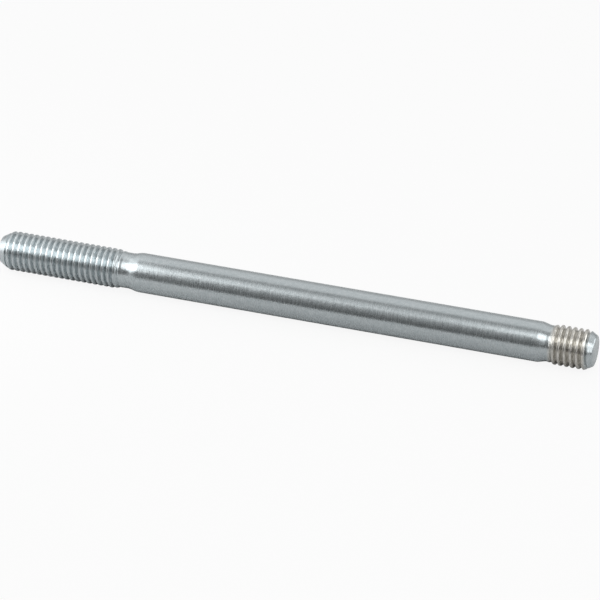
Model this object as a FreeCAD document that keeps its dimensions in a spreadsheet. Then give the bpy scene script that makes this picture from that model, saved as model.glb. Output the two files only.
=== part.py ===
# Stud bolt M10 x 1.5, 154 mm long over all: a long nut end, a plain shank and a short screw-in end.
# It is made from one bar, so it is one solid. It lies along X, with the nut end at -X.
# The origin is under the middle of its length, on the surface that it lies on. +Z points up.
# Ring grooves stand for each helical thread. They have its pitch, crest and root, but are narrower
# than the real V grooves, so that the crests of each end still measure as one round wall.
import FreeCAD, Part
import enum
import math
import os
import Sketcher

# Driving sizes in millimetres, and one angle in degrees
SIZES = {
    # Over all, and the two threads measured from their own end faces
    "overall_length": 154.0,
    "nut_thread_length": 33.5,
    "screw_in_thread_length": 11.5,
    # The plain shank and how it meets the two threads
    "shank_diameter": 9.95,
    "neck_depth": 0.5,
    "nut_neck_length": 0.9,
    "nut_shoulder_length": 3.3,
    "screw_in_neck_length": 0.2,
    "screw_in_cone_length": 2.0,
    # The rolled thread lifts its crests above the necks
    "crest_rise": 0.46,
    "thread_pitch": 1.5,
    "thread_depth": 0.92,
    "groove_width": 0.48,
    "runout_length": 1.6,
    # Middle of each thread's first groove, from its own end face
    "nut_first_groove": 1.53,
    "screw_in_first_groove": 0.73,
    # The two points
    "nut_point_diameter": 6.6,
    "screw_in_point_diameter": 7.5,
    "chamfer_angle": 30.0,
}

# A groove's section reaches past the crests by this share of its depth, to cut them cleanly
OVERCUT = 0.1

SHEET = "Sizes"
NODE = "stud"


class Axis(enum.IntEnum):
    """How a sketch numbers its own two axes."""

    HORIZONTAL = -1
    VERTICAL = -2


class End(enum.IntEnum):
    """How a sketch numbers the two ends of a line or arc."""

    START = 1
    FINISH = 2


def make_sheet(doc):
    """Put every driving size in its own named cell."""
    sheet = doc.addObject("Spreadsheet::Sheet", SHEET)
    for row, (alias, value) in enumerate(SIZES.items(), start=1):
        sheet.set(f"A{row}", alias)
        sheet.set(f"B{row}", str(value))
        sheet.setAlias(f"B{row}", alias)
    doc.recompute()
    return sheet


def cell(alias):
    """Name a cell in an expression."""
    return f"{SHEET}.{alias}"


def half(alias):
    """Half of a diameter's cell."""
    return f"{cell(alias)} / 2"


def total(*aliases):
    """Sum of some lengths' cells."""
    return " + ".join(cell(alias) for alias in aliases)


def from_far_end(*aliases):
    """Place measured back from the screw-in end face."""
    return f"{cell('overall_length')} - ({total(*aliases)})"


def neck_radius():
    """Radius of the blank that the threads are rolled on."""
    return f"{half('shank_diameter')} - {cell('neck_depth')}"


def crest_radius():
    """Radius over a thread's crests."""
    return f"{neck_radius()} + {cell('crest_rise')}"


def chamfer_run(point_diameter):
    """Length along the axis of the chamfer that ends at this point."""
    rise = f"({crest_radius()} - {half(point_diameter)})"
    return f"{rise} / tan({cell('chamfer_angle')} * 1 deg)"


def nut_end_corners():
    """Corners of the half outline from the nut end face to its neck, each as place and radius."""
    return [
        ("0", "0"),
        ("0", half("nut_point_diameter")),
        (chamfer_run("nut_point_diameter"), crest_radius()),
        (f"{cell('nut_thread_length')} - {cell('runout_length')}", crest_radius()),
        (cell("nut_thread_length"), neck_radius()),
        (total("nut_thread_length", "nut_neck_length"), neck_radius()),
    ]


def shank_and_screw_in_corners():
    """Corners from the shoulder's end on the shank to the screw-in end face."""
    thread = "screw_in_thread_length"
    neck = "screw_in_neck_length"
    length = cell("overall_length")
    return [
        (total("nut_thread_length", "nut_neck_length", "nut_shoulder_length"), half("shank_diameter")),
        (from_far_end(thread, neck, "screw_in_cone_length"), half("shank_diameter")),
        (from_far_end(thread, neck), neck_radius()),
        (from_far_end(thread), neck_radius()),
        (f"{from_far_end(thread)} + {cell('runout_length')}", crest_radius()),
        (f"{length} - {chamfer_run('screw_in_point_diameter')}", crest_radius()),
        (length, half("screw_in_point_diameter")),
        (length, "0"),
    ]


def evaluate(sheet, corner):
    """A corner's present position in the sketch."""
    place, radius = (float(sheet.evalExpression(expression)) for expression in corner)
    return FreeCAD.Vector(place, radius, 0)


def draw_lines(sketch, points):
    """Straight stretches from point to point, joined end to start."""
    lines = [sketch.addGeometry(Part.LineSegment(*pair)) for pair in zip(points, points[1:])]
    for line, following in zip(lines, lines[1:]):
        joint = Sketcher.Constraint("Coincident", line, End.FINISH, following, End.START)
        sketch.addConstraint(joint)
    return lines


def draw_shoulder(sketch, neck, shank):
    """Smooth rise from the neck to the shank: two equal arcs that meet halfway."""
    run = shank.x - neck.x
    rise = shank.y - neck.y
    radius = (run**2 + rise**2) / (4 * rise)
    middle_angle = math.asin(run / 2 / radius) / 2
    along_arc = radius * FreeCAD.Vector(math.sin(middle_angle), 1 - math.cos(middle_angle), 0)
    halfway = (neck + shank) / 2
    hollow = sketch.addGeometry(Part.Arc(neck, neck + along_arc, halfway))
    crown = sketch.addGeometry(Part.Arc(halfway, shank - along_arc, shank))
    return hollow, crown


def join_shoulder(sketch, neck_line, hollow, crown, shank_line):
    """Make the two arcs run smoothly into the neck, into each other and into the shank."""
    # The crown turns clockwise, so a sketch counts its start at the shank
    for joint in (
        (neck_line, End.FINISH, hollow, End.START),
        (hollow, End.FINISH, crown, End.FINISH),
        (crown, End.START, shank_line, End.START),
    ):
        sketch.addConstraint(Sketcher.Constraint("Tangent", *joint))
    sketch.addConstraint(Sketcher.Constraint("Equal", hollow, crown))


def place_corner(sketch, sheet, line, end, corner):
    """Tie a corner of the outline to its place along the axis and to its radius."""
    position = evaluate(sheet, corner)
    for kind, zero_axis, expression, value in (
        ("DistanceX", Axis.VERTICAL, corner[0], position.x),
        ("DistanceY", Axis.HORIZONTAL, corner[1], position.y),
    ):
        if expression == "0":
            sketch.addConstraint(Sketcher.Constraint("PointOnObject", line, end, zero_axis))
            continue
        size = Sketcher.Constraint(kind, Axis.HORIZONTAL, End.START, line, end, value)
        index = sketch.addConstraint(size)
        sketch.setExpression(f"Constraints[{index}]", expression)


def place_corners(sketch, sheet, lines, corners):
    """Tie the start of each line, and the end of the last, to the corners in turn."""
    ends = [(line, End.START) for line in lines] + [(lines[-1], End.FINISH)]
    for (line, end), corner in zip(ends, corners):
        place_corner(sketch, sheet, line, end, corner)


def origin_feature(body, role):
    """One of the body's own origin planes or axes."""
    return next(item for item in body.Origin.OriginFeatures if item.Role == role)


def add_section(body, name):
    """Empty sketch on the lengthwise plane through the axis."""
    sketch = body.newObject("Sketcher::SketchObject", name)
    sketch.AttachmentSupport = [(origin_feature(body, "XZ_Plane"), "")]
    sketch.MapMode = "FlatFace"
    return sketch


def draw_outline(body, sheet):
    """Half of the blank's lengthwise section, above its axis."""
    sketch = add_section(body, "Outline")
    nut_end = nut_end_corners()
    far_side = shank_and_screw_in_corners()
    nut_points = [evaluate(sheet, corner) for corner in nut_end]
    far_points = [evaluate(sheet, corner) for corner in far_side]
    nut_lines = draw_lines(sketch, nut_points)
    hollow, crown = draw_shoulder(sketch, nut_points[-1], far_points[0])
    far_lines = draw_lines(sketch, far_points)
    join_shoulder(sketch, nut_lines[-1], hollow, crown, far_lines[0])
    place_corners(sketch, sheet, nut_lines, nut_end)
    place_corners(sketch, sheet, far_lines, far_side)
    axis = sketch.addGeometry(Part.LineSegment(far_points[-1], nut_points[0]))
    for first, second in ((far_lines[-1], axis), (axis, nut_lines[0])):
        joint = Sketcher.Constraint("Coincident", first, End.FINISH, second, End.START)
        sketch.addConstraint(joint)
    return sketch


def turn(body, kind, name, section):
    """Turn a section about the stud's axis, to add metal or to cut it."""
    turned = body.newObject(kind, name)
    turned.Profile = section
    turned.ReferenceAxis = (section, ["H_Axis"])
    turned.Angle = 360
    section.Visibility = False
    return turned


def groove_corners(middle):
    """Corners of a V groove's section, which is closed a little above the crests."""
    half_width = f"{half('groove_width')} * {1 + OVERCUT}"
    lid = f"{crest_radius()} + {cell('thread_depth')} * {OVERCUT}"
    bottom = f"{crest_radius()} - {cell('thread_depth')}"
    return [
        (f"{middle} - {half_width}", lid),
        (middle, bottom),
        (f"{middle} + {half_width}", lid),
    ]


def draw_groove(body, sheet, name, middle):
    """Section of a thread's first groove, its middle at this place along the axis."""
    sketch = add_section(body, name)
    corners = groove_corners(middle)
    points = [evaluate(sheet, corner) for corner in corners]
    flanks = draw_lines(sketch, points)
    place_corners(sketch, sheet, flanks, corners)
    lid = sketch.addGeometry(Part.LineSegment(points[-1], points[0]))
    for first, second in ((flanks[-1], lid), (lid, flanks[0])):
        joint = Sketcher.Constraint("Coincident", first, End.FINISH, second, End.START)
        sketch.addConstraint(joint)
    return sketch


def roll_thread(body, sheet, end, from_far_face):
    """Groove one end at the thread's pitch, up to where its run-out starts."""
    first = f"{end}_first_groove"
    middle = from_far_end(first) if from_far_face else cell(first)
    section = draw_groove(body, sheet, f"{end}_groove_section", middle)
    groove = turn(body, "PartDesign::Groove", f"{end}_first_turn", section)
    thread = body.newObject("PartDesign::LinearPattern", f"{end}_thread")
    thread.Originals = [groove]
    thread.Direction = (origin_feature(body, "X_Axis"), [""])
    thread.Reversed = from_far_face
    grooved = f"{cell(f'{end}_thread_length')} - {cell('runout_length')} - {cell(first)}"
    gaps = f"floor(({grooved}) / {cell('thread_pitch')})"
    thread.setExpression("Occurrences", f"{gaps} + 1")
    thread.setExpression("Length", f"{gaps} * {cell('thread_pitch')}")
    body.Tip = thread


def lay_down(body):
    """Lay the stud on the surface, with the middle of its length over the origin."""
    body.setExpression(".Placement.Base.x", f"-{half('overall_length')}")
    lying_height = f"max({crest_radius()}; {half('shank_diameter')})"
    body.setExpression(".Placement.Base.z", lying_height)


def make_stud(doc, sheet):
    """Turn the bar with its necks and points, then roll both threads on it."""
    body = doc.addObject("PartDesign::Body", NODE)
    body.Label = NODE
    outline = draw_outline(body, sheet)
    body.Tip = turn(body, "PartDesign::Revolution", "turned_bar", outline)
    roll_thread(body, sheet, "nut", from_far_face=False)
    roll_thread(body, sheet, "screw_in", from_far_face=True)
    lay_down(body)
    return body


def check(doc, stud):
    """Stop if any object failed, if a sketch is loose or if the solid is unsound."""
    for item in doc.Objects:
        if {"Invalid", "Error"} & set(item.State):
            raise RuntimeError(f"{item.Name} failed: {item.State}")
        if item.TypeId == "Sketcher::SketchObject" and not item.FullyConstrained:
            raise RuntimeError(f"{item.Name} isn't fully constrained")
    shape = stud.Shape
    if shape.isNull() or not shape.isValid() or len(shape.Solids) != 1:
        raise RuntimeError(f"{stud.Name} isn't one sound solid")


def main():
    doc = FreeCAD.newDocument("StudBolt")
    sheet = make_sheet(doc)
    stud = make_stud(doc, sheet)
    doc.recompute()
    check(doc, stud)
    os.makedirs("parts", exist_ok=True)
    solid = stud.Shape.Solids[0]
    solid.exportStep(f"parts/{NODE}.step")
    print(f"{NODE}: volume {solid.Volume:.2f} mm3, {len(solid.Faces)} faces, box {solid.BoundBox}")


main()
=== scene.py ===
"""Looks of a double-ended stud bolt: its rolled threads, its zinc plating and a plain photo studio.

Every length is in metres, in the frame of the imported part: the stud lies along X on the surface
at Z = 0, with its long nut end at -X and its short screw-in end at +X.
"""

import logging
import math
from collections.abc import Sequence
from dataclasses import dataclass, field
from enum import Enum

import bpy
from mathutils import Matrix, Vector

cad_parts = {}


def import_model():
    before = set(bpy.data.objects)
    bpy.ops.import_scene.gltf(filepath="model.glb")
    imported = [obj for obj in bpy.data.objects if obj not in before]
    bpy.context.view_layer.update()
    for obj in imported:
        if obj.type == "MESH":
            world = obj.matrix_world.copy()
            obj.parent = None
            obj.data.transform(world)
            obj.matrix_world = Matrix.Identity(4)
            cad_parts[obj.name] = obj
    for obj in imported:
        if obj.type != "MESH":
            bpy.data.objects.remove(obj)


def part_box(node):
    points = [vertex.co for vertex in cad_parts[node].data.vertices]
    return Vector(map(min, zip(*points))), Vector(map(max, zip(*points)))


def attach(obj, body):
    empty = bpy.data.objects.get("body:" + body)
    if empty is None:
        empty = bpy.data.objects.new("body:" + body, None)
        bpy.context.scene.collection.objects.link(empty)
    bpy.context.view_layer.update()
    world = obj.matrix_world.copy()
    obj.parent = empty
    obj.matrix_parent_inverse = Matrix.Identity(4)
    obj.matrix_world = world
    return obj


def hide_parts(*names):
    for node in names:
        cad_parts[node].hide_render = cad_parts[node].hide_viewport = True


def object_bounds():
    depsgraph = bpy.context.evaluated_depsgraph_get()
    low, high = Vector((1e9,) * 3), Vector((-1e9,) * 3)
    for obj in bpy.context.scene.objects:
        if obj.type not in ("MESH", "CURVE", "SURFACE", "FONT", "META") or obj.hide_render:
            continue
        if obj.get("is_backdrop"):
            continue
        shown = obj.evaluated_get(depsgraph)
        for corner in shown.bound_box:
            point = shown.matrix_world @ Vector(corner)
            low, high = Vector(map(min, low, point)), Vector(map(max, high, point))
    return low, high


LOG = logging.getLogger("stud_bolt")

MM = 0.001
NODE = "stud"
BODY = "root"
FULL_TURN = 2.0 * math.pi
HALF_TURN_DEGREES = 180.0

Colour = tuple[float, float, float, float]
Point = tuple[float, float, float]

WHITE: Colour = (1.0, 1.0, 1.0, 1.0)

# Nearly all of a noise lies between these two values.
WEAK_NOISE = 0.3
STRONG_NOISE = 0.7

# Places of the colour sockets of a Mix node, whose names it also gives to other kinds of socket.
MIX_UNDER = 6
MIX_OVER = 7
MIX_RESULT = 2


class ThreadHand(Enum):
    """Which way a thread winds: the sign of its advance along +X for a turn from +Y towards +Z."""

    RIGHT = 1
    LEFT = -1


def smooth_step(start: float, end: float, place: float) -> float:
    """Ease from 0 at start to 1 at end.

    Args:
        start: place where the result leaves 0.
        end: place where the result reaches 1.
        place: place to evaluate.

    Returns:
        A share between 0 and 1.
    """
    share = min(max((place - start) / (end - start), 0.0), 1.0)
    return share * share * (3.0 - 2.0 * share)


def soft_min(one: float, other: float, blend: float) -> float:
    """Smaller of two lengths, rounded where they cross.

    Args:
        one: first length.
        other: second length.
        blend: how far apart the two may be and still be rounded.

    Returns:
        The rounded smaller length.
    """
    share = max(blend - abs(one - other), 0.0) / blend
    return min(one, other) - share * share * blend / 4.0


def soft_max(one: float, other: float, blend: float) -> float:
    """Larger of two lengths, rounded where they cross within the blend."""
    return -soft_min(-one, -other, blend)


@dataclass(frozen=True)
class ThreadForm:
    """Section of the rolled coarse thread, on both ends alike."""

    crest_radius: float
    pitch: float = 1.5 * MM
    depth: float = 0.92 * MM
    crest_flat: float = 0.46 * MM
    flank_angle: float = math.radians(31.0)
    rounding: float = 0.2 * MM
    hand: ThreadHand = ThreadHand.RIGHT

    def radius(self, turns: float) -> float:
        """Radius of the thread's surface.

        Args:
            turns: distance from a crest's middle along the axis, in pitches.

        Returns:
            The radius there.
        """
        from_crest = abs(turns - round(turns)) * self.pitch
        drop = (from_crest - self.crest_flat / 2.0) / math.tan(self.flank_angle)
        capped = soft_min(self.crest_radius, self.crest_radius - drop, self.rounding)
        return soft_max(capped, self.crest_radius - self.depth, self.rounding)

    def turns_at(self, place: float, angle: float, start: float) -> float:
        """Distance from a crest's middle in pitches, at a place and angle on a thread.

        Args:
            place: distance from the nut end's face.
            angle: angle about the axis, from +Y towards +Z.
            start: place of a crest's middle at angle 0.

        Returns:
            The distance along the axis, in pitches.
        """
        return (place - start) / self.pitch - self.hand.value * angle / FULL_TURN


@dataclass(frozen=True)
class StudSizes:
    """Lengths and radii of the stud. Places are measured from the nut end's face."""

    length: float
    shank_radius: float
    axis_height: float
    neck_depth: float = 0.5 * MM
    crest_drop: float = 0.04 * MM
    nut_thread: float = 33.5 * MM
    nut_runout: float = 3.0 * MM
    nut_first_crest: float = 0.78 * MM
    nut_point_radius: float = 3.3 * MM
    nut_neck: float = 0.9 * MM
    nut_shoulder: float = 3.3 * MM
    screw_in_thread: float = 11.5 * MM
    screw_in_runout: float = 2.4 * MM
    screw_in_first_crest: float = 1.48 * MM
    screw_in_point_radius: float = 3.75 * MM
    screw_in_neck: float = 0.2 * MM
    screw_in_cone: float = 2.0 * MM
    chamfer_angle: float = math.radians(30.0)
    chamfer_blend: float = 0.1 * MM
    corner_round: float = 0.2 * MM
    edge_round: float = 0.08 * MM

    @property
    def blank_radius(self) -> float:
        """Radius of the necks that the threads are rolled on."""
        return self.shank_radius - self.neck_depth

    @property
    def shoulder_start(self) -> float:
        """Place where the rise from the nut end's neck to the shank starts."""
        return self.nut_thread + self.nut_neck

    @property
    def shank_start(self) -> float:
        """Place where the shank reaches its full radius."""
        return self.shoulder_start + self.nut_shoulder

    @property
    def screw_in_start(self) -> float:
        """Place where the screw-in end's thread starts to rise from its neck."""
        return self.length - self.screw_in_thread

    @property
    def shank_end(self) -> float:
        """Place of the sharp edge where the shank starts to narrow to the screw-in end."""
        return self.screw_in_start - self.screw_in_neck - self.screw_in_cone

    def shoulder_radius(self, place: float) -> float:
        """Radius of the smooth rise to the shank: two equal arcs that meet halfway.

        Args:
            place: distance from the nut end's face, inside the shoulder.

        Returns:
            The radius there.
        """
        rise = self.shank_radius - self.blank_radius
        arc = (self.nut_shoulder**2 + rise**2) / (4.0 * rise)
        along = place - self.shoulder_start
        if along < self.nut_shoulder / 2.0:
            return self.blank_radius + arc - math.sqrt(arc**2 - along**2)
        left = self.nut_shoulder - along
        return self.shank_radius - arc + math.sqrt(arc**2 - left**2)

    def plain_radius(self, place: float) -> float:
        """Radius between the two threads.

        Args:
            place: distance from the nut end's face, from one neck to the other.

        Returns:
            The radius there.
        """
        if place < self.shoulder_start:
            return self.blank_radius
        if place < self.shank_start:
            return self.shoulder_radius(place)
        share = (place - self.shank_end) / self.screw_in_cone
        cone = self.shank_radius - share * self.neck_depth
        narrowed = soft_min(self.shank_radius, cone, self.edge_round)
        return max(narrowed, self.blank_radius)

    def chamfer_radius(self, from_face: float, point_radius: float) -> float:
        """Radius that an end's chamfer allows, with its corner rounded off.

        Args:
            from_face: distance from that end's face.
            point_radius: radius of that end's face.

        Returns:
            The largest radius there.
        """
        cone = point_radius + from_face * math.tan(self.chamfer_angle)
        if from_face >= self.corner_round:
            return cone
        short = self.corner_round - from_face
        return cone - (self.corner_round - math.sqrt(self.corner_round**2 - short**2))


@dataclass(frozen=True)
class RingSpacing:
    """How finely the stud's mesh is divided."""

    around: int = 112
    per_pitch: int = 24
    shoulder_step: float = 0.2 * MM
    shank_step: float = 4.0 * MM
    edge_step: float = 0.06 * MM
    edge_reach: float = 0.6 * MM
    corner_rings: int = 4
    face_rings: tuple[float, ...] = (0.25, 0.5, 0.75)


class StudMesh:
    """One closed mesh of the whole stud, ring by ring from the nut end to the screw-in end."""

    def __init__(self, sizes: StudSizes, form: ThreadForm, spacing: RingSpacing) -> None:
        """Keep the sizes and start with no vertices.

        Args:
            sizes: lengths and radii of the stud.
            form: section of its two threads.
            spacing: how finely it is divided.
        """
        self.sizes = sizes
        self.form = form
        self.spacing = spacing
        self.vertices: list[Point] = []
        self.faces: list[tuple[int, ...]] = []

    def threaded_radius(self, place: float, angle: float) -> float:
        """Radius of the stud's surface anywhere on its side.

        Args:
            place: distance from the nut end's face.
            angle: angle about the axis, from +Y towards +Z.

        Returns:
            The radius there.
        """
        sizes = self.sizes
        if place < sizes.nut_thread:
            start = sizes.nut_first_crest
            fade = 1.0 - smooth_step(sizes.nut_thread - sizes.nut_runout, sizes.nut_thread, place)
            chamfer = sizes.chamfer_radius(place, sizes.nut_point_radius)
        elif place > sizes.screw_in_start:
            start = sizes.length - sizes.screw_in_first_crest
            runout_end = sizes.screw_in_start + sizes.screw_in_runout
            fade = smooth_step(sizes.screw_in_start, runout_end, place)
            chamfer = sizes.chamfer_radius(sizes.length - place, sizes.screw_in_point_radius)
        else:
            return sizes.plain_radius(place)
        thread = self.form.radius(self.form.turns_at(place, angle, start))
        rolled = sizes.blank_radius + fade * (thread - sizes.blank_radius)
        return soft_min(rolled, chamfer, sizes.chamfer_blend)

    def places(self) -> list[float]:
        """Find the places of the rings along the side, close together where the form is fine.

        Returns:
            Distances from the nut end's face, from one end face to the other.
        """
        sizes = self.sizes
        spacing = self.spacing
        thread_step = self.form.pitch / spacing.per_pitch
        corner_step = sizes.corner_round / spacing.corner_rings
        edge_start = sizes.shank_end - spacing.edge_reach
        edge_end = sizes.shank_end + spacing.edge_reach
        neck_start = sizes.screw_in_start - sizes.screw_in_neck
        stretches = (
            (0.0, sizes.corner_round, corner_step),
            (sizes.corner_round, sizes.nut_thread, thread_step),
            (sizes.nut_thread, sizes.shoulder_start, sizes.nut_neck),
            (sizes.shoulder_start, sizes.shank_start, spacing.shoulder_step),
            (sizes.shank_start, edge_start, spacing.shank_step),
            (edge_start, edge_end, spacing.edge_step),
            (edge_end, neck_start, spacing.shoulder_step),
            (neck_start, sizes.screw_in_start, sizes.screw_in_neck),
            (sizes.screw_in_start, sizes.length - sizes.corner_round, thread_step),
            (sizes.length - sizes.corner_round, sizes.length, corner_step),
        )
        rings: list[float] = []
        for start, end, step in stretches:
            count = max(1, round((end - start) / step))
            rings += [start + (end - start) * index / count for index in range(count)]
        return rings + [sizes.length]

    def add_ring(self, place: float, radii: list[float]) -> None:
        """Add one ring of vertices about the axis.

        Args:
            place: distance from the nut end's face.
            radii: radius of each vertex of the ring, in turn.
        """
        count = self.spacing.around
        for index, radius in enumerate(radii):
            angle = FULL_TURN * index / count
            x = place - self.sizes.length / 2.0
            z = self.sizes.axis_height + radius * math.sin(angle)
            self.vertices.append((x, radius * math.cos(angle), z))

    def add_centre(self, place: float) -> int:
        """Add the middle vertex of an end face and return its number."""
        self.vertices.append((place - self.sizes.length / 2.0, 0.0, self.sizes.axis_height))
        return len(self.vertices) - 1

    def side_rings(self) -> list[tuple[float, list[float]]]:
        """Work out every ring of the stud, those inside the two end faces included.

        Returns:
            The place and the radii of each ring, from the nut end to the screw-in end.
        """
        count = self.spacing.around
        angles = [FULL_TURN * index / count for index in range(count)]
        side = [
            (place, [self.threaded_radius(place, angle) for angle in angles])
            for place in self.places()
        ]
        inner = [share * side[0][1][0] for share in self.spacing.face_rings]
        outer = [share * side[-1][1][0] for share in reversed(self.spacing.face_rings)]
        nut_face = [(0.0, [radius] * count) for radius in inner]
        screw_in_face = [(self.sizes.length, [radius] * count) for radius in outer]
        return nut_face + side + screw_in_face

    def build(self, name: str) -> bpy.types.Object:
        """Make the mesh object.

        Args:
            name: name of the object and its mesh.

        Returns:
            The object, linked to the scene.
        """
        count = self.spacing.around
        neighbours = [(index, (index + 1) % count) for index in range(count)]
        first = self.add_centre(0.0)
        rings = self.side_rings()
        for place, radii in rings:
            self.add_ring(place, radii)
        last = self.add_centre(self.sizes.length)
        ring_starts = [first + 1 + number * count for number in range(len(rings))]
        here = ring_starts[0]
        self.faces += [(first, here + one, here + other) for one, other in neighbours]
        for here, ahead in zip(ring_starts, ring_starts[1:]):
            for one, other in neighbours:
                self.faces.append((here + one, ahead + one, ahead + other, here + other))
        here = ring_starts[-1]
        self.faces += [(last, here + other, here + one) for one, other in neighbours]
        return self.make_object(name)

    def make_object(self, name: str) -> bpy.types.Object:
        """Turn the gathered vertices and faces into a smooth-shaded object.

        Args:
            name: name of the object and its mesh.

        Returns:
            The object, linked to the scene.
        """
        mesh = bpy.data.meshes.new(name)
        mesh.from_pydata(self.vertices, [], self.faces)
        mesh.polygons.foreach_set("use_smooth", [True] * len(self.faces))
        mesh.update()
        piece = bpy.data.objects.new(name, mesh)
        bpy.context.scene.collection.objects.link(piece)
        return piece


class NodeGraph:
    """Small helper that adds shader nodes and joins them."""

    def __init__(self, tree: bpy.types.NodeTree) -> None:
        """Start on an emptied node tree."""
        self.tree = tree
        tree.nodes.clear()

    def add(self, kind: str, **settings: object) -> bpy.types.Node:
        """Add a node.

        Args:
            kind: the node's type, such as ShaderNodeBump.
            settings: properties of the node to set.

        Returns:
            The node.
        """
        node = self.tree.nodes.new(kind)
        for name, value in settings.items():
            setattr(node, name, value)
        return node

    def join(self, source: bpy.types.NodeSocket, target: bpy.types.NodeSocket) -> None:
        """Link an output socket to an input socket."""
        self.tree.links.new(source, target)

    def grain(self, stretch: Point, scale: float, detail: float) -> bpy.types.NodeSocket:
        """Noise fixed to the object and stretched along its axes.

        Args:
            stretch: how many times finer the noise is along X, Y and Z.
            scale: size of the noise, in features per metre.
            detail: how many finer layers it has.

        Returns:
            The socket of the noise's value.
        """
        place = self.add("ShaderNodeTexCoord")
        mapping = self.add("ShaderNodeMapping")
        mapping.inputs["Scale"].default_value = stretch
        noise = self.add("ShaderNodeTexNoise")
        noise.inputs["Scale"].default_value = scale
        noise.inputs["Detail"].default_value = detail
        self.join(place.outputs["Object"], mapping.inputs["Vector"])
        self.join(mapping.outputs["Vector"], noise.inputs["Vector"])
        return noise.outputs["Fac"]

    def span(self, source: bpy.types.NodeSocket, low: float, high: float) -> bpy.types.NodeSocket:
        """Spread a noise's middle range over the values from low to high.

        Args:
            source: socket of the noise.
            low: result where the noise is weak.
            high: result where the noise is strong.

        Returns:
            The socket of the result.
        """
        spread = self.add("ShaderNodeMapRange")
        spread.inputs["From Min"].default_value = WEAK_NOISE
        spread.inputs["From Max"].default_value = STRONG_NOISE
        spread.inputs["To Min"].default_value = low
        spread.inputs["To Max"].default_value = high
        self.join(source, spread.inputs["Value"])
        return spread.outputs["Result"]

    def zone(self, start: float, end: float, fade: float) -> bpy.types.NodeSocket:
        """Share that is 1 between two places along X and fades to 0 on both sides.

        Args:
            start: X of the middle of the first fade.
            end: X of the middle of the second fade.
            fade: length of each fade.

        Returns:
            The socket of the share.
        """
        place = self.add("ShaderNodeTexCoord")
        along = self.add("ShaderNodeSeparateXYZ")
        self.join(place.outputs["Object"], along.inputs["Vector"])
        shares = []
        for middle, before, after in ((start, 0.0, 1.0), (end, 1.0, 0.0)):
            rise = self.add("ShaderNodeMapRange", interpolation_type="SMOOTHSTEP")
            rise.inputs["From Min"].default_value = middle - fade / 2.0
            rise.inputs["From Max"].default_value = middle + fade / 2.0
            rise.inputs["To Min"].default_value = before
            rise.inputs["To Max"].default_value = after
            self.join(along.outputs["X"], rise.inputs["Value"])
            shares.append(rise.outputs["Result"])
        both = self.add("ShaderNodeMath", operation="MULTIPLY")
        self.join(shares[0], both.inputs[0])
        self.join(shares[1], both.inputs[1])
        return both.outputs["Value"]

    def blend(
        self,
        share: bpy.types.NodeSocket,
        under: bpy.types.NodeSocket,
        over: bpy.types.NodeSocket,
    ) -> bpy.types.NodeSocket:
        """Blend two colours by a share.

        Args:
            share: socket of the share of the second colour.
            under: socket of the first colour.
            over: socket of the second colour.

        Returns:
            The socket of the blended colour.
        """
        mix = self.add("ShaderNodeMix", data_type="RGBA")
        self.join(share, mix.inputs["Factor"])
        self.join(under, mix.inputs[MIX_UNDER])
        self.join(over, mix.inputs[MIX_OVER])
        return mix.outputs[MIX_RESULT]

    def tint(self, source: bpy.types.NodeSocket, low: Colour, high: Colour) -> bpy.types.NodeSocket:
        """Blend two colours by a noise.

        Args:
            source: socket of the noise.
            low: colour where the noise is weak.
            high: colour where the noise is strong.

        Returns:
            The socket of the colour.
        """
        ramp = self.add("ShaderNodeValToRGB")
        weak, strong = ramp.color_ramp.elements
        weak.position = WEAK_NOISE
        weak.color = low
        strong.position = STRONG_NOISE
        strong.color = high
        self.join(source, ramp.inputs["Fac"])
        return ramp.outputs["Color"]

    def bump(
        self,
        height: bpy.types.NodeSocket,
        depth: float,
        under: bpy.types.NodeSocket | None = None,
    ) -> bpy.types.NodeSocket:
        """Raise the surface by a height, at the bump's full strength.

        Args:
            height: socket of the height.
            depth: depth of the bump, in metres.
            under: normal of a bump that this one lies on.

        Returns:
            The socket of the new normal.
        """
        node = self.add("ShaderNodeBump")
        node.inputs["Strength"].default_value = 1.0
        node.inputs["Distance"].default_value = depth
        self.join(height, node.inputs["Height"])
        if under is not None:
            self.join(under, node.inputs["Normal"])
        return node.outputs["Normal"]


@dataclass(frozen=True)
class BareZone:
    """Stretch where the plating is worn through to warmer, bare steel."""

    start: float
    end: float
    light: Colour = (0.66, 0.645, 0.61, 1.0)
    dark: Colour = (0.50, 0.485, 0.445, 1.0)
    fade: float = 1.2 * MM


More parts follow.
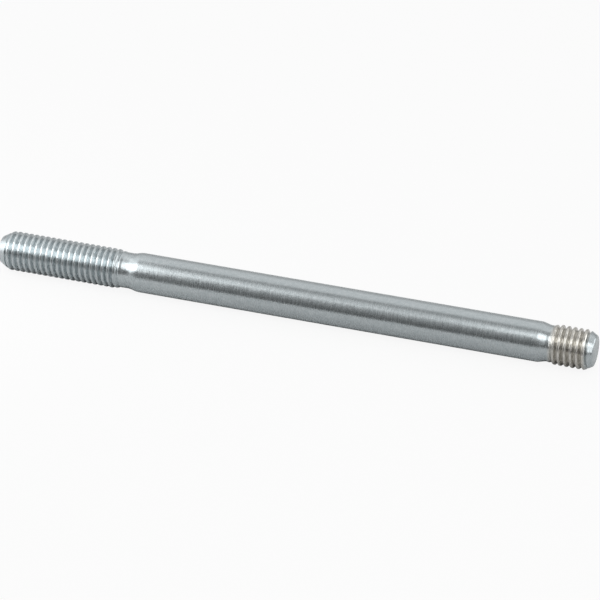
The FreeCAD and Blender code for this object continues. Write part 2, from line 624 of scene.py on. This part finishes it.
@dataclass(frozen=True)
class SteelFinish:
    """Zinc-plated steel with fine marks around the bar and a slight mottle.

    Smooth and rough are the two ends of its roughness. Lay is how strongly the marks stretch a
    highlight, and lay_turn is the share of a turn between the marks and the way that it stretches.
    """

    name: str = "zinc_plate"
    light: Colour = (0.52, 0.56, 0.575, 1.0)
    dark: Colour = (0.44, 0.485, 0.50, 1.0)
    smooth: float = 0.22
    rough: float = 0.34
    mark_depth: float = 0.005 * MM
    mottle_depth: float = 0.026 * MM
    mark_stretch: Point = (1.0, 0.12, 0.12)
    mark_scale: float = 3500.0
    mark_detail: float = 3.0
    mottle_stretch: Point = (1.0, 1.0, 1.0)
    mottle_scale: float = 1100.0
    mottle_detail: float = 4.0
    lay: float = 0.5
    lay_turn: float = 0.25

    def material(self, bare: BareZone) -> bpy.types.Material:
        """Make the finish's node material.

        Args:
            bare: stretch that has lost its plating.

        Returns:
            The material.
        """
        material = bpy.data.materials.new(self.name)
        material.use_nodes = True
        graph = NodeGraph(material.node_tree)
        shader = graph.add("ShaderNodeBsdfPrincipled")
        shader.inputs["Metallic"].default_value = 1.0
        shader.inputs["Anisotropic"].default_value = self.lay
        shader.inputs["Anisotropic Rotation"].default_value = self.lay_turn
        output = graph.add("ShaderNodeOutputMaterial")
        marks = graph.grain(self.mark_stretch, self.mark_scale, self.mark_detail)
        mottle = graph.grain(self.mottle_stretch, self.mottle_scale, self.mottle_detail)
        around = graph.add("ShaderNodeTangent", direction_type="RADIAL", axis="X")
        plated = graph.tint(mottle, self.dark, self.light)
        worn = graph.tint(mottle, bare.dark, bare.light)
        share = graph.zone(bare.start, bare.end, bare.fade)
        graph.join(around.outputs["Tangent"], shader.inputs["Tangent"])
        graph.join(graph.blend(share, plated, worn), shader.inputs["Base Color"])
        graph.join(graph.span(marks, self.smooth, self.rough), shader.inputs["Roughness"])
        uneven = graph.bump(mottle, self.mottle_depth)
        graph.join(graph.bump(marks, self.mark_depth, uneven), shader.inputs["Normal"])
        graph.join(shader.outputs["BSDF"], output.inputs["Surface"])
        return material


@dataclass
class StudBolt:
    """The stud itself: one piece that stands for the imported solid."""

    name: str = "stud_bolt"
    spacing: RingSpacing = field(default_factory=RingSpacing)
    finish: SteelFinish = field(default_factory=SteelFinish)
    bare_from_thread: float = 0.8 * MM
    bare_from_face: float = 1.8 * MM

    def build(self) -> bpy.types.Object:
        """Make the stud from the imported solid's box, dress it and let it ride.

        Returns:
            The stud.
        """
        low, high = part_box(NODE)
        half_height = (high[2] - low[2]) / 2.0
        half_width = (high[1] - low[1]) / 2.0
        sizes = StudSizes(
            length=high[0] - low[0],
            shank_radius=min(half_height, half_width),
            axis_height=low[2] + half_height,
        )
        form = ThreadForm(crest_radius=half_height - sizes.crest_drop)
        piece = StudMesh(sizes, form, self.spacing).build(self.name)
        bare = BareZone(
            start=low[0] + sizes.screw_in_start + self.bare_from_thread,
            end=high[0] - self.bare_from_face,
        )
        piece.data.materials.append(self.finish.material(bare))
        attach(piece, BODY)
        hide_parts(NODE)
        return piece


@dataclass(frozen=True)
class Panel:
    """A flat white lamp or card that the polished bar mirrors, aimed at the stud.

    The lift turns about the stud's axis: 0 is level at the front, 90 overhead, 180 level at the back.
    The turn leans from there towards the screw-in end, or towards the nut end where it is negative.
    Both are in degrees. Along is how far towards the screw-in end the panel and its aim are moved.
    """

    name: str
    lift: float
    distance: float
    width: float
    height: float
    strength: float
    turn: float = 0.0
    along: float = 0.0

    def middle(self, target: Vector) -> Vector:
        """Find the middle of the panel.

        Args:
            target: point on the stud's axis that the panel faces.

        Returns:
            The panel's middle.
        """
        lift = math.radians(self.lift)
        turn = math.radians(self.turn)
        across = math.cos(turn)
        direction = Vector((math.sin(turn), -across * math.cos(lift), across * math.sin(lift)))
        return target + self.distance * direction


@dataclass(frozen=True)
class WallBand:
    """Brightness of the room at one lift about the stud's axis, in degrees as for a panel."""

    lift: float
    grey: float


@dataclass(frozen=True)
class TableTop:
    """White table that the stud lies on: half its width, its paint and its share of plain white."""

    name: str = "table_top"
    finish: str = "white_table"
    reach: float = 3.0
    paint: Colour = (0.72, 0.72, 0.72, 1.0)
    glow: float = 0.9


def flat_mesh(name: str, half_width: float, half_height: float) -> bpy.types.Mesh:
    """Make a flat rectangle about the origin, facing up.

    Args:
        name: name of the mesh.
        half_width: half of its size along X.
        half_height: half of its size along Y.

    Returns:
        The mesh.
    """
    corners = [
        (-half_width, -half_height, 0.0),
        (half_width, -half_height, 0.0),
        (half_width, half_height, 0.0),
        (-half_width, half_height, 0.0),
    ]
    mesh = bpy.data.meshes.new(name)
    mesh.from_pydata(corners, [], [(0, 1, 2, 3)])
    return mesh


class Studio:
    """White table top, graded room, lamps and reflection cards around the stud."""

    def __init__(self, target: Vector) -> None:
        """Keep the point that everything is aimed at."""
        self.target = target

    def add_lamp(self, panel: Panel) -> bpy.types.Object:
        """Add a rectangular lamp whose strength is the brightness that it shows in a mirror.

        Args:
            panel: place, size and strength of the lamp.

        Returns:
            The lamp.
        """
        lamp = bpy.data.lights.new(panel.name, "AREA")
        lamp.shape = "RECTANGLE"
        lamp.size = panel.width
        lamp.size_y = panel.height
        lamp.color = WHITE[:3]
        lamp.energy = panel.strength * math.pi * panel.width * panel.height
        return self.aim(bpy.data.objects.new(panel.name, lamp), panel)

    def add_card(self, panel: Panel) -> bpy.types.Object:
        """Add a card that shows only in reflections.

        Args:
            panel: place, size and strength of the card.

        Returns:
            The card.
        """
        mesh = flat_mesh(panel.name, panel.width / 2.0, panel.height / 2.0)
        material = bpy.data.materials.new(panel.name)
        material.use_nodes = True
        graph = NodeGraph(material.node_tree)
        glow = graph.add("ShaderNodeEmission")
        glow.inputs["Color"].default_value = WHITE
        glow.inputs["Strength"].default_value = panel.strength
        output = graph.add("ShaderNodeOutputMaterial")
        graph.join(glow.outputs["Emission"], output.inputs["Surface"])
        mesh.materials.append(material)
        card = self.aim(bpy.data.objects.new(panel.name, mesh), panel)
        card.visible_camera = False
        card.visible_diffuse = False
        card.visible_shadow = False
        card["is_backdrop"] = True
        return card

    def aim(self, thing: bpy.types.Object, panel: Panel) -> bpy.types.Object:
        """Put a lamp or card in its place, facing the stud, with its width along X.

        Args:
            thing: the lamp or card.
            panel: where it goes.

        Returns:
            The same lamp or card.
        """
        target = self.target + Vector((panel.along, 0.0, 0.0))
        thing.location = panel.middle(target)
        toward = target - thing.location
        thing.rotation_euler = toward.to_track_quat("-Z", "Y").to_euler()
        bpy.context.scene.collection.objects.link(thing)
        return thing

    def add_floor(self, table: TableTop) -> bpy.types.Object:
        """Add the white table top, which shows the camera a share of plain white, free of shadow.

        Args:
            table: its size, its paint and its share of plain white.

        Returns:
            The table top.
        """
        mesh = flat_mesh(table.name, table.reach, table.reach)
        floor = bpy.data.objects.new(table.name, mesh)
        bpy.context.scene.collection.objects.link(floor)
        material = bpy.data.materials.new(table.finish)
        material.use_nodes = True
        graph = NodeGraph(material.node_tree)
        paint = graph.add("ShaderNodeBsdfDiffuse")
        paint.inputs["Color"].default_value = table.paint
        white = graph.add("ShaderNodeEmission")
        rays = graph.add("ShaderNodeLightPath")
        seen = graph.add("ShaderNodeMath", operation="MULTIPLY")
        seen.inputs[1].default_value = table.glow
        mix = graph.add("ShaderNodeMixShader")
        output = graph.add("ShaderNodeOutputMaterial")
        graph.join(rays.outputs["Is Camera Ray"], seen.inputs[0])
        graph.join(seen.outputs["Value"], mix.inputs["Fac"])
        graph.join(paint.outputs["BSDF"], mix.inputs[1])
        graph.join(white.outputs["Emission"], mix.inputs[2])
        graph.join(mix.outputs["Shader"], output.inputs["Surface"])
        mesh.materials.append(material)
        floor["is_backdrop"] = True
        return floor

    def add_room(self, bands: tuple[WallBand, ...]) -> None:
        """Surround the table with a room whose brightness changes from front to ceiling to back.

        The polished bar mirrors the room. The camera itself sees plain white beyond the table.
        The lift of each direction is its angle about X, from the front at -Y over the top.

        Args:
            bands: brightness of the room at several lifts, from the front to the back.
        """
        world = bpy.data.worlds.new("studio_room")
        world.use_nodes = True
        graph = NodeGraph(world.node_tree)
        look = graph.add("ShaderNodeTexCoord")
        parts = graph.add("ShaderNodeSeparateXYZ")
        front = graph.add("ShaderNodeMath", operation="MULTIPLY")
        front.inputs[1].default_value = -1.0
        lift = graph.add("ShaderNodeMath", operation="ARCTAN2")
        share = graph.add("ShaderNodeMath", operation="DIVIDE")
        share.inputs[1].default_value = math.pi
        ramp = graph.add("ShaderNodeValToRGB")
        stops = ramp.color_ramp.elements
        while len(stops) < len(bands):
            stops.new(0.5)  # each stop gets its own place below
        for stop, band in zip(stops, bands):
            stop.position = band.lift / HALF_TURN_DEGREES
            stop.color = (band.grey, band.grey, band.grey, 1.0)
        walls = graph.add("ShaderNodeBackground")
        plain = graph.add("ShaderNodeBackground")
        plain.inputs["Color"].default_value = WHITE
        rays = graph.add("ShaderNodeLightPath")
        mix = graph.add("ShaderNodeMixShader")
        output = graph.add("ShaderNodeOutputWorld")
        graph.join(look.outputs["Generated"], parts.inputs["Vector"])
        graph.join(parts.outputs["Y"], front.inputs[0])
        graph.join(parts.outputs["Z"], lift.inputs[0])
        graph.join(front.outputs["Value"], lift.inputs[1])
        graph.join(lift.outputs["Value"], share.inputs[0])
        graph.join(share.outputs["Value"], ramp.inputs["Fac"])
        graph.join(ramp.outputs["Color"], walls.inputs["Color"])
        graph.join(rays.outputs["Is Camera Ray"], mix.inputs["Fac"])
        graph.join(walls.outputs["Background"], mix.inputs[1])
        graph.join(plain.outputs["Background"], mix.inputs[2])
        graph.join(mix.outputs["Shader"], output.inputs["Surface"])
        bpy.context.scene.world = world


ROOM_BANDS = (
    WallBand(0.0, 0.14),
    WallBand(12.0, 0.15),
    WallBand(30.0, 0.24),
    WallBand(48.0, 0.42),
    WallBand(62.0, 0.64),
    WallBand(78.0, 0.66),
    WallBand(88.0, 0.35),
    WallBand(97.0, 0.40),
    WallBand(108.0, 0.92),
    WallBand(145.0, 0.92),
    WallBand(160.0, 0.66),
    WallBand(180.0, 0.45),
)
SOFTBOXES = (
    Panel(
        "left_softbox",
        lift=64.0, distance=0.8, width=0.7, height=0.66, strength=1.2, turn=-47.0,
    ),
    Panel(
        "right_softbox",
        lift=64.0, distance=0.8, width=0.6, height=0.4, strength=2.3, turn=34.0,
    ),
    Panel(
        "nut_end_softbox",
        lift=59.0, distance=0.058, width=0.142, height=0.042, strength=1.1, along=-0.134,
    ),
)
CARDS = (
    Panel(
        "low_card",
        lift=4.0, distance=0.12, width=0.9, height=0.036, strength=0.12,
    ),
    Panel(
        "nut_end_card",
        lift=56.0, distance=0.06, width=0.142, height=0.048, strength=2.6, along=-0.134,
    ),
    Panel(
        "nut_end_top_card",
        lift=102.0, distance=0.06, width=0.142, height=0.044, strength=1.4, along=-0.134,
    ),
    Panel(
        "nut_end_low_card",
        lift=4.0, distance=0.11, width=0.14, height=0.03, strength=0.45, along=-0.15,
    ),
    Panel(
        "screw_in_end_card",
        lift=60.0, distance=0.06, width=0.026, height=0.021, strength=1.05, along=0.05,
    ),
    Panel(
        "screw_in_cone_card",
        lift=60.0, distance=0.06, width=0.048, height=0.028, strength=2.4, along=0.086,
    ),
    Panel(
        "far_left_card",
        lift=60.0, distance=0.32, width=0.30, height=0.24, strength=2.0, turn=-72.0,
    ),
    Panel(
        "screw_in_front_card",
        lift=28.0, distance=0.12, width=0.12, height=0.1, strength=2.0, along=0.195,
    ),
    Panel(
        "back_right_card",
        lift=166.0, distance=0.6, width=0.4, height=0.36, strength=3.2, turn=64.0,
    ),
)


@dataclass(frozen=True)
class PhotoCamera:
    """Camera that sees the stud as the photograph does, upright and looking down.

    The focal length and the picture's width are in pixels, the sensor's width in millimetres.
    """

    name: str = "photo_camera"
    elevation: float = math.radians(31.61)
    azimuth: float = math.radians(18.29)
    distance: float = 835.9 * MM
    aim_along: float = 2.05 * MM
    focal_px: float = 3390.0
    picture_px: float = 600.0
    sensor_width: float = 36.0
    view_reach: float = 20.0

    def build(self, axis_height: float) -> bpy.types.Object:
        """Add the camera and make it the scene's camera.

        Args:
            axis_height: height of the stud's axis above the table.

        Returns:
            The camera.
        """
        data = bpy.data.cameras.new(self.name)
        data.sensor_width = self.sensor_width
        data.lens = self.focal_px / self.picture_px * data.sensor_width
        data.clip_end = self.view_reach
        camera = bpy.data.objects.new(self.name, data)
        target = Vector((self.aim_along, 0.0, axis_height))
        level = math.cos(self.elevation)
        back = Vector(
            (
                math.sin(self.azimuth) * level,
                -math.cos(self.azimuth) * level,
                math.sin(self.elevation),
            )
        )
        camera.location = target + self.distance * back
        camera.rotation_euler = (-back).to_track_quat("-Z", "Y").to_euler()
        bpy.context.scene.collection.objects.link(camera)
        bpy.context.scene.camera = camera
        return camera


def main() -> None:
    """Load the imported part, build the stud and its studio, and report each piece."""
    logging.basicConfig(level=logging.INFO, format="%(name)s: %(message)s")
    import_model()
    cad_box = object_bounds()
    stud = StudBolt().build()
    LOG.info("%s: %d faces", stud.name, len(stud.data.polygons))
    axis_height = (cad_box[1][2] - cad_box[0][2]) / 2.0
    studio = Studio(Vector((0.0, 0.0, axis_height)))
    table = studio.add_floor(TableTop())
    LOG.info("table %s", table.name)
    studio.add_room(ROOM_BANDS)
    for panel in SOFTBOXES:
        lamp = studio.add_lamp(panel)
        LOG.info("lamp %s", lamp.name)
    for panel in CARDS:
        card = studio.add_card(panel)
        LOG.info("card %s", card.name)
    camera = PhotoCamera().build(axis_height)
    LOG.info("camera at %s", tuple(round(value, 4) for value in camera.location))
    bpy.context.scene.view_settings.view_transform = "Standard"


if __name__ == "__main__":
    main()
